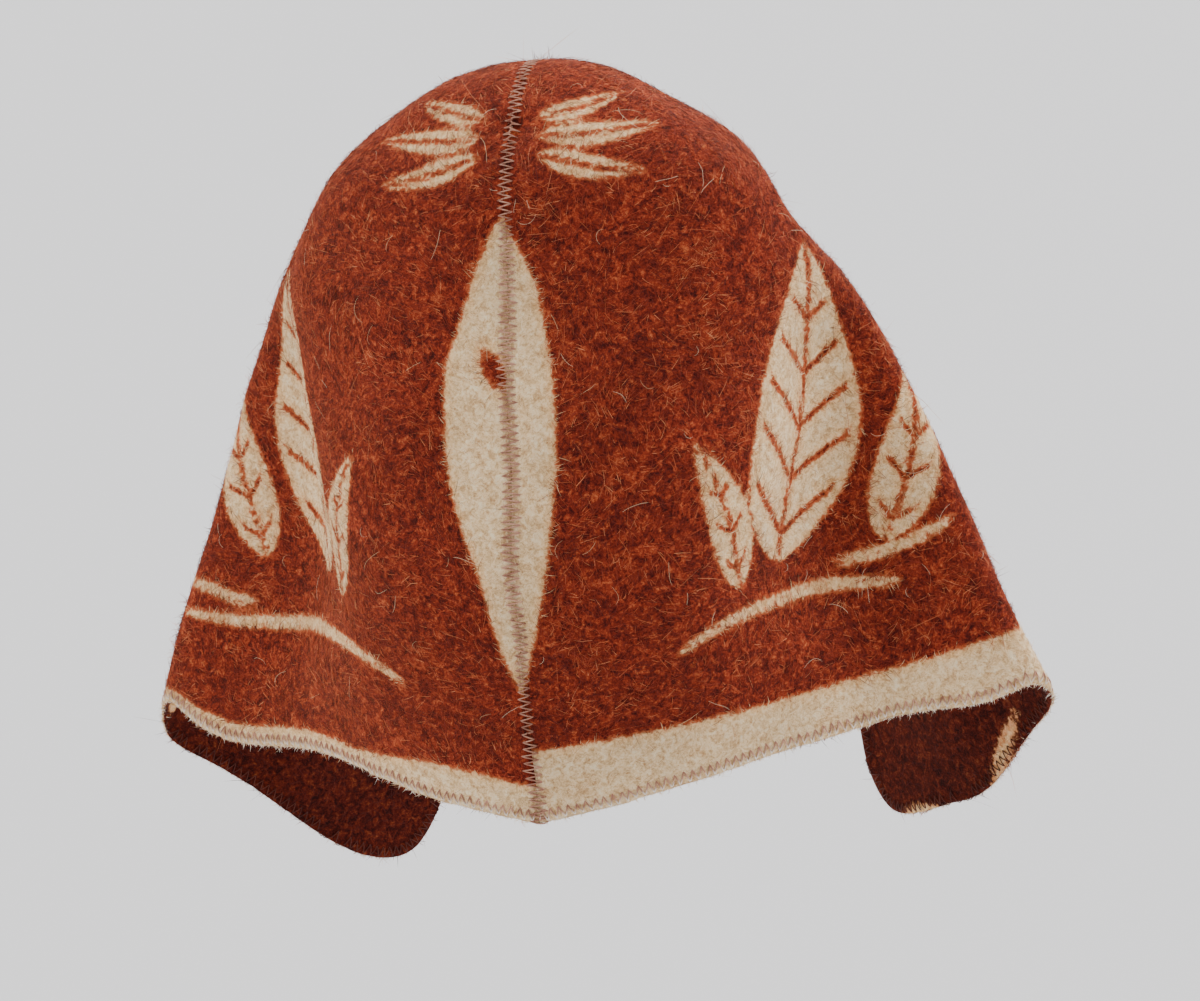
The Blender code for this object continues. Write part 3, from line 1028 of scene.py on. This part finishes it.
def stitch_path(needles, tree, wraps=()):
    """A thread that sinks in at each needle hole, or wraps there, and stands up from the cloth between."""
    path = []
    for i, (start, end) in enumerate(zip(needles[:-1], needles[1:])):
        if wraps and i % 2:
            path.append(wraps[i])
        for k in range(STROKE_STEPS):
            share = k / STROKE_STEPS
            spot, normal = tree.find_nearest(start.lerp(end, share))[:2]
            rise = THREAD_RISE * math.sin(math.pi * share) ** 0.5 - THREAD_RADIUS * 0.8
            path.append(spot + normal * rise)
    return path


def seam_needles(line, rng):
    """Needle holes left and right of the centre seam, wider at the nape than over the crown."""
    here, travel = along_line(line, SEAM_PITCH / 2)
    knots, half_widths = zip(*SEAM_HALF_WIDTHS)
    widths = np.interp(np.arange(len(here)) * SEAM_PITCH / 2 / MM, knots, half_widths) * MM
    needles = []
    for i, (point, ahead, width) in enumerate(zip(map(Vector, here), map(Vector, travel), widths)):
        across = width * (1 if i % 2 else -1) + rng.normal(0, STRAY) * MM
        across += noise.noise(point / WEAVE_LENGTH) * WEAVE_DEPTH
        slip = ahead * rng.normal(0, SEAM_SLIP) * MM
        needles.append(point + Vector((across, 0, 0)) + slip)
    return needles


def rim_needles(line, tree, way, rng):
    """Needle holes that alternate between a few millimetres inside and the cut edge, and the wraps there."""
    here, travel = along_line(line, RIM_PITCH / 2)
    needles, wraps = [], []
    for i, (point, ahead) in enumerate(zip(map(Vector, here), map(Vector, travel))):
        depth = RIM_NEEDLES[i % 2] + rng.normal(0, STRAY) * MM
        side = inward(tree, point, ahead, way)
        normal = tree.find_nearest(point)[1]
        needles.append(point + side * depth + ahead * rng.normal(0, RIM_SLIP) * MM)
        wraps.append(point - side * WRAP_OUT - normal * WRAP_UNDER)
    return needles, wraps


def thread_piece(name, path, material, radius=THREAD_RADIUS, rim=None):
    """A round thread along the path, with the distance from the rim stored for its colour."""
    curve = bpy.data.curves.new(name, "CURVE")
    curve.dimensions = "3D"
    curve.bevel_depth = radius
    curve.bevel_resolution = 1
    spline = curve.splines.new("POLY")
    spline.points.add(len(path) - 1)
    spline.points.foreach_set("co", [value for point in path for value in (*point, 1.0)])
    only(show(name, curve))
    bpy.ops.object.convert(target="MESH")
    thread = bpy.context.active_object
    thread.data.shade_smooth()
    thread.data.materials.append(material)
    points = positions(thread.data)
    store(thread.data, "rim_gap", np.full(len(points), 9.0) if rim is None else nearest_gap(points, rim) / MM)
    return thread


def sewing_thread(name, dark, pale, wrap_highlight):
    recipe = Recipe(name)
    twist = recipe.spots(recipe.place(), 0.5, detail=1.0)
    fade = recipe.spots(recipe.place(), 6.0, detail=2.0)
    colour = recipe.ramp(fade, ((0.35, dark), (0.65, pale)))
    # Near the rim the thread turns paler, a painted highlight for the wraps over the cut edge.
    wrap = recipe.step(recipe.attribute("rim_gap"), 3.4, 0.9)
    return recipe.finish({
        "Base Color": recipe.blend(wrap, colour, (*wrap_highlight, 1.0)),
        "Normal": recipe.bump(twist, 0.12, 0.6), "Roughness": 0.6, "Specular IOR Level": 0.3})


# The last top thread colour is a painted highlight for the wraps over the cut edge.
THREAD_DARK, THREAD_PALE, THREAD_WRAP_HIGHLIGHT = (0.32, 0.135, 0.085), (0.58, 0.30, 0.205), (0.90, 0.80, 0.68)
BOBBIN_DARK, BOBBIN_PALE = (0.07, 0.012, 0.007), (0.13, 0.028, 0.015)
STITCH_RNG = np.random.default_rng(26)
top_thread = sewing_thread("taupe_thread", THREAD_DARK, THREAD_PALE, THREAD_WRAP_HIGHLIGHT)
bobbin_thread = sewing_thread("bobbin_thread", BOBBIN_DARK, BOBBIN_PALE, BOBBIN_PALE)
both_outer = skin_tree(cloths.values(), 1.0)
seam_line = dense(lines["left_panel"][1], RIM_STEP)
seam_line[:, 0] = 0.0
seam_line = wave(seam_line, rims["left_panel"])
seam_path = stitch_path(seam_needles(seam_line, STITCH_RNG), both_outer)
centre_stitch = thread_piece("centre_stitch", seam_path, top_thread)
rim_stitches = {}
for node, cloth in cloths.items():
    rim_stitches[node] = []
    for sign, kind, thread, radius in ((1.0, "rim_stitch", top_thread, THREAD_RADIUS),
                                       (-1.0, "rim_bobbin", bobbin_thread, BOBBIN_RADIUS)):
        tree = skin_tree([cloth], sign)
        line = rims[node] if sign > 0 else laid(rims[node], tree)
        here, travel = along_line(line, 10 * MM)
        start, ahead = Vector(here[len(here) // 2]), Vector(travel[len(here) // 2])
        probe = tree.find_nearest(start + inward(tree, start, ahead, 1.0) * 4 * MM)[0] - start
        way = 1.0 if probe.length > 3 * MM else -1.0
        needles, wraps = rim_needles(line, tree, way, STITCH_RNG)
        path = stitch_path(needles, tree, wraps if sign > 0 else ())
        rim = rims[node] if sign > 0 else None
        rim_stitches[node].append(thread_piece(node.replace("panel", kind), path, thread, radius, rim))
print("centre stitch", len(centre_stitch.data.polygons), "faces, rim stitches",
      [len(piece.data.polygons) for pair in rim_stitches.values() for piece in pair])

# %% [markdown]
# ## The frayed edge and the loose hairs
# Between the stitches the cut wool frays out by a millimetre or two, and all over the hat a few
# long pale hairs have worked loose. Both are more of the same ribbons: short ones that point away
# from the cloth along the rim, and long thin ones of several links that drift just above the nap.

# %% Fray along the rim
FRAY_COUNT, FRAY_LENGTH = 6500, 1.9 * MM
# The spreads of heading, length and bend, and the shortest share of the length, between two tufts.
FRAY_TURNED, FRAY_UNEVEN, FRAY_BENT, FRAY_SHORTEST = 0.45, 0.30, 0.25, 0.25


def fray(name, node, rng):
    """Short wool ends that stand out of the cut edge between the stitches."""
    outer, inner = (skin_tree([cloths[node]], sign) for sign in (1.0, -1.0))
    line, side = rims[node], PANELS[node]
    here, travel = along_line(line, lengths(np.diff(line, axis=0)).sum() / FRAY_COUNT)
    count = len(here)
    through = rng.random(count)
    root, out = np.empty((count, 3)), np.empty((count, 3))
    for i in range(count):
        spot, normal = outer.find_nearest(Vector(here[i]))[:2]
        under = inner.find_nearest(Vector(here[i]))[0]
        away = normal.cross(Vector(travel[i])).normalized()
        if (outer.find_nearest(spot + away * 3 * MM)[0] - spot).length > 2 * MM:
            away = -away
        root[i] = spot.lerp(under, through[i]) - away * 0.5 * MM
        out[i] = away
    heading = unit(out + rng.normal(0, FRAY_TURNED, (count, 3)))
    tuft = np.abs(np.sin(math.pi * np.linspace(0, 1, count) * len(line) * RIM_STEP / RIM_PITCH))
    tuft = FRAY_SHORTEST + (1.0 - FRAY_SHORTEST) * tuft ** 3
    length = (FRAY_LENGTH * rng.lognormal(0, FRAY_UNEVEN, count) * tuft)[:, None]
    flat = unit(np.cross(heading, rng.normal(size=(count, 3))))
    bend = rng.normal(0, FRAY_BENT, (count, 3)) * length
    spine = np.stack([root, root + heading * length * 0.5, root + heading * length + bend], axis=1)
    depth = cream_depth(here, side, np.zeros(count)) + rng.normal(0, 0.8, count)
    pale = np.where(rng.random(count) < through * 0.5, depth < 0, depth > 0).astype(float)
    # Cream fray ends keep to the bright end of their ramp, part of the same painted highlight.
    shade = np.where(pale > 0, rng.uniform(0.6, 1.0, count), rng.beta(2.5, 2.0, count))
    return ribbons(name, spine, flat * FIBRE_WIDTH * 0.65, shade, pale)


frays = {node: fray(node.replace("panel", "rim_fray"), node, RNG) for node in PANELS}
dress(frays.values(), rim_wool)

# %% Loose hairs
HAIR_COUNT, HAIR_LINKS = 200, 10
HAIR_WIDTH, LONGEST_HAIR = 0.08 * MM, 15.0
# The turn of a whole hair and of each link in radians, and how far it rises over the cloth in mm.
HAIR_CURL, LINK_CURL, HAIR_RISE = 0.14, 0.08, (0.4, 1.6)


def loose_hairs(name, node, rng):
    """Long fine hairs of several links, each lying in a slow curve over the nap."""
    place, normal = roots(cloths[node], HAIR_COUNT, 1.0, rng)
    tree = skin_tree([cloths[node]], 1.0)
    spines, widths = [], []
    for start, up in zip(place, normal):
        up = Vector(up)
        heading = up.cross(Vector(rng.normal(size=3))).normalized()
        length = min(LONGEST_HAIR, rng.lognormal(2.0, 0.35)) * MM
        curl = rng.normal(0, HAIR_CURL)
        rise = rng.uniform(*HAIR_RISE) * MM
        steps, spot = [], Vector(start)
        for link in range(HAIR_LINKS + 1):
            on_cloth, up = tree.find_nearest(spot)[:2]
            steps.append(on_cloth + up * (0.1 * MM + rise * math.sin(math.pi * (link / HAIR_LINKS) ** 0.8)))
            heading = (heading - up * heading.dot(up)).normalized()
            heading = Matrix.Rotation(curl + rng.normal(0, LINK_CURL), 3, up) @ heading
            spot = on_cloth + heading * length / HAIR_LINKS
        spines.append(steps)
        widths.append((steps[-1] - steps[0]).cross(up).normalized() * HAIR_WIDTH / 2)
    shade = rng.uniform(0.45, 1.0, HAIR_COUNT)
    pale = (rng.random(HAIR_COUNT) < 0.6).astype(float)
    return ribbons(name, np.array(spines), np.array(widths), shade, pale)


hairs = {node: loose_hairs(node.replace("panel", "loose_hairs"), node, RNG) for node in PANELS}
dress(hairs.values(), wool)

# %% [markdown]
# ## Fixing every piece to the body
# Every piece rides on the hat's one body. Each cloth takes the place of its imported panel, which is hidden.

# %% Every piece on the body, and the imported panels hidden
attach(centre_stitch, "root")
for node, cloth in cloths.items():
    trims = [*naps[node], *rim_stitches[node], frays[node], hairs[node]]
    for piece in [cloth, *trims]:
        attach(piece, "root")
    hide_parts(node)
    trims += [centre_stitch] if node == "left_panel" else []
